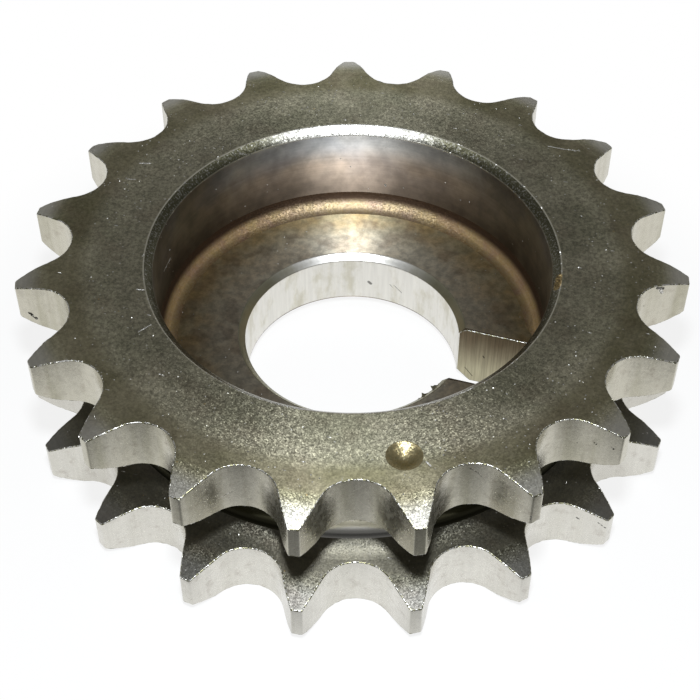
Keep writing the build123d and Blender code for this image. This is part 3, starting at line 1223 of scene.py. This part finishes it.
def broached_slot(colours, shape):
    """The drive slot's walls, broached along the axis, brown toward the web and darker there as
    painted shade.
    """
    steel = Steel("broached steel")
    upper = steel.height.step(1.0, shape.web_thickness - 0.35)
    stain = steel.clouds(0.8, detail=3, stretch=(1, 1, 0.5)) * 0.6 + -0.3
    brown = steel.blend(0.7, colours.film_dark, colours.varnish)
    colour = steel.blend(upper + stain, colours.film, brown)
    strokes = steel.clouds(0.07, detail=3, roughness=0.7, stretch=(1, 1, 0.02))
    colour = steel.shaded(colour, strokes.step(0.3, 0.7).between(0.75, 1.1))
    # painted shade: darker toward the top of the slot
    colour = steel.shaded(colour, upper.between(1.0, 0.8))
    colour = steel.shaded(colour, steel.marks(SLOT_SCRATCHES).between(1.0, 0.3))
    return steel.finish(colour, 0.34, steel.relief(strokes, 0.01))


def drilled_point(colours, shape):
    """The timing mark's drilled cone, gilded by oil."""
    steel = Steel("drilled steel")
    gilding = steel.clouds(0.15, detail=2).between(0.0, 0.7)
    colour = steel.shaded(steel.blend(gilding, colours.film_dark, colours.straw), 1.2)
    return steel.finish(colour, 0.38, steel.facets(0.12, 0.12))


def chamfered_rim(colours, shape):
    """The counterbore's chamfer, chattered by the tool so that it flashes toward the light, barer
    on one side as a painted highlight.
    """
    steel = Steel("chattered chamfer steel")
    chatter = steel.clouds(0.1, detail=3, roughness=0.7).step(0.48, 0.88)
    colour = steel.blend(chatter, steel.shaded(colours.film_dark, 0.4), colours.bare)
    # painted highlight: barer steel on the highlight side
    rubbed = steel.toward(shape.highlight_side).step(0.85, 1.0)
    colour = steel.blend(rubbed * 0.5, colour, colours.bare)
    chips = steel.marks(RIM_CHIPS)
    colour = steel.blend(chips, colour, colours.straw)
    return steel.finish(colour, 0.33, steel.facets(0.12, 0.6, chips | 0.1), 0.78, across=False)


def beaded_lip(colours, shape):
    """The chamfer's two corners: a line of tiny burrs, each a bead of bright steel, with a painted
    highlight on one side.
    """
    steel = Steel("burred lip steel")
    beads = steel.dots(0.3, 0.24, 0.5)
    # painted highlight: the lips are bright on the highlight side
    rubbed = steel.toward(shape.highlight_side)
    bright = beads.between(0.35, 1.0) | rubbed.step(0.85, 1.0)
    colour = steel.blend(bright, colours.film, colours.bare)
    inner = steel.height.step(shape.height - 0.3, shape.height - 0.5)
    # painted shade: the inner lip is darker away from the highlight side
    colour = steel.shaded(colour, (inner * rubbed.step(0.95, 0.7)).between(1.0, 0.5))
    chips, burrs = steel.marks(RIM_CHIPS), steel.marks(LIP_BURRS)
    colour = steel.blend(chips, colour, colours.straw)
    colour = steel.blend(burrs, colour, colours.bare)
    beaded = steel.facets(0.3, 0.9, beads | chips)
    return steel.finish(colour, 0.45, steel.facets(SCRAPE, 0.9, burrs, beaded))


# one maker for each finish, in the order of the slots
FINISH_MAKERS = (
    turned_face,
    milled_flank,
    worn_edge,
    turned_groove,
    bored_wall,
    varnished_wall,
    bronzed_fillet,
    turned_web,
    broached_slot,
    drilled_point,
    chamfered_rim,
    beaded_lip,
)


# ---------------------------------------------------------------- operators


class SPROCKET_OT_body(bpy.types.Operator):
    """Make the sprocket: its teeth, hub, bore, drive slot and timing mark"""

    bl_idname = "sprocket.body"
    bl_label = "Sprocket"

    def execute(self, context):
        scene = context.scene
        shape = Shape(scene.sprocket_sizes, scene.sprocket_wear)
        finishes = [maker(scene.sprocket_finish, shape) for maker in FINISH_MAKERS]
        mesh = join_parts(shape, ring_of_teeth(shape, finishes), finishes)
        even_normals(mesh)
        piece = in_scene("sprocket_steel", mesh)
        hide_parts(NODE)
        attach(piece, "root")
        return {"FINISHED"}


def bench_paint(stage):
    """White laminate that looks evenly lit, with only a faint shadow close to the part.

    The steel mirrors it as a pool of white that fades away from the part, because steel with
    white on every side would lose its shape.
    """
    paint = bpy.data.materials.new("white bench laminate")
    tree = cleared(paint)
    path = add(tree, "ShaderNodeLightPath").node.outputs
    seen = Pattern(path["Is Camera Ray"]) | path["Is Glossy Ray"] | path["Is Transmission Ray"]
    where = add(tree, "ShaderNodeTexCoord").node.outputs["Object"]
    reach = Pattern(add(tree, "ShaderNodeVectorMath", where, operation="LENGTH"))
    share = seen * reach.step(stage.shadow_start, stage.shadow_end).between(OWN_WHITE, 1.0)

    middle = Matrix.Rotation(stage.turn, 3, "Z") @ Vector((0, stage.pool_place, 0))
    oval = (middle, (0, 0, stage.turn), (stage.pool_stretch, 1, 1))
    pool = add(tree, "ShaderNodeMapping", where, *oval, vector_type="TEXTURE")
    away = Pattern(add(tree, "ShaderNodeVectorMath", pool, operation="LENGTH"))
    level = away.step(stage.pool_start, stage.pool_end).between(1.0, DIM) | path["Is Camera Ray"]

    matt = add(tree, "ShaderNodeBsdfDiffuse", stage.floor)
    white = add(tree, "ShaderNodeEmission", WHITE, level)
    add(tree, "ShaderNodeOutputMaterial", add(tree, "ShaderNodeMixShader", share, matt, white))
    return paint


def room_light(stage):
    """Grey light from above that dims toward the horizon, and a white strip low behind the part.

    The camera sees the room as white.
    """
    world = bpy.data.worlds.new("room")
    tree = cleared(world)
    path = add(tree, "ShaderNodeLightPath").node.outputs
    mirrored = Pattern(path["Is Glossy Ray"]) | path["Is Transmission Ray"]
    sky = add(tree, "ShaderNodeTexCoord").node.outputs["Generated"]
    rise = Pattern(add(tree, "ShaderNodeSeparateXYZ", sky).node.outputs["Z"])
    back = (-sin(stage.turn), cos(stage.turn), 0)
    along = add(tree, "ShaderNodeVectorMath", sky, back, operation="DOT_PRODUCT")
    behind = add(tree, "ShaderNodeMapRange", along, *STRIP_SIDES)
    strip = rise.step(sin(stage.strip_top), sin(stage.strip_full)) * behind
    overhead = rise.step(sin(stage.room_dim), sin(stage.room_full)).between(DIM, 1.0)

    room = add(tree, "ShaderNodeBackground", stage.room, overhead)
    white = add(tree, "ShaderNodeBackground", WHITE, 1.0)
    seen = mirrored * strip | path["Is Camera Ray"]
    add(tree, "ShaderNodeOutputWorld", add(tree, "ShaderNodeMixShader", seen, room, white))
    return world


class SPROCKET_OT_stage(bpy.types.Operator):
    """Make the white bench, the lamp, the room's light and the camera"""

    bl_idname = "sprocket.stage"
    bl_label = "Stage"

    def execute(self, context):
        scene = context.scene
        stage = scene.sprocket_stage
        turned = Matrix.Rotation(stage.turn, 4, "Z")
        scene.world = room_light(stage)

        # bench
        half = stage.bench_size / 2
        corners = [(-half, -half, 0), (half, -half, 0), (half, half, 0), (-half, half, 0)]
        mesh = bpy.data.meshes.new("bench")
        mesh.from_pydata(corners, [], [range(len(corners))])
        mesh.materials.append(bench_paint(stage))
        bench = in_scene("bench", mesh)
        bench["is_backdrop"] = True

        # lamp
        lamp_data = bpy.data.lights.new("lamp", "AREA")
        lamp_data.shape = "DISK"
        lamp_data.size = stage.lamp_size
        lamp_data.energy = stage.lamp_power
        lamp_data.color = stage.lamp_colour
        lamp = in_scene("lamp", lamp_data)
        place = turned @ Vector(stage.lamp_place)
        facing = (place - Vector((0, 0, stage.lamp_aim))).to_track_quat("Z", "Y")
        lamp.matrix_world = Matrix.Translation(place) @ facing.to_matrix().to_4x4()

        # camera
        camera_data = bpy.data.cameras.new("camera")
        camera_data.sensor_width = FILM_WIDTH
        camera_data.lens = stage.lens
        camera_data.clip_start = 5 * MM
        camera = in_scene("camera", camera_data)
        back = turned @ Vector((0, -cos(stage.camera_rise), sin(stage.camera_rise)))
        level = turned @ Vector((1, 0, 0))
        upright = back.cross(level)
        c, s = cos(stage.camera_roll), sin(stage.camera_roll)
        right, up = c * level + s * upright, c * upright - s * level
        place = turned @ Vector(stage.camera_aim) + stage.camera_distance * back
        facing = Matrix((right, up, back)).transposed()
        camera.matrix_world = Matrix.Translation(place) @ facing.to_4x4()
        scene.camera = camera
        scene.view_settings.view_transform = "Standard"
        return {"FINISHED"}


class SPROCKET_PT_panel(bpy.types.Panel):
    """Sizes, wear and finishes, and the buttons that make the pieces"""

    bl_label = "Sprocket"
    bl_idname = "SPROCKET_PT_panel"
    bl_space_type = "VIEW_3D"
    bl_region_type = "UI"
    bl_category = "Sprocket"

    def draw(self, context):
        for operator in OPERATORS:
            self.layout.operator(operator.bl_idname)
        for name in GROUPS:
            box = self.layout.box()
            group = getattr(context.scene, name)
            box.label(text=group.bl_rna.name)
            for prop in group.bl_rna.properties:
                if prop.identifier not in ("rna_type", "name"):
                    box.prop(group, prop.identifier)


GROUPS = {
    "sprocket_sizes": SprocketSizes,
    "sprocket_wear": SprocketWear,
    "sprocket_finish": SprocketFinish,
    "sprocket_stage": StageSettings,
}
OPERATORS = (SPROCKET_OT_body, SPROCKET_OT_stage)


def register():
    for cls in (*GROUPS.values(), *OPERATORS, SPROCKET_PT_panel):
        bpy.utils.register_class(cls)
    for name, group in GROUPS.items():
        setattr(bpy.types.Scene, name, PointerProperty(type=group))


def unregister():
    for name in GROUPS:
        delattr(bpy.types.Scene, name)
    for cls in reversed((*GROUPS.values(), *OPERATORS, SPROCKET_PT_panel)):
        bpy.utils.unregister_class(cls)


def main():
    register()
    bpy.ops.sprocket.body()
    bpy.ops.sprocket.stage()
    boxes = {"cad": CAD_BOX, "visual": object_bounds()}
    {name: [list(corner) for corner in box] for name, box in boxes.items()}


if __name__ == "__main__":
    main()
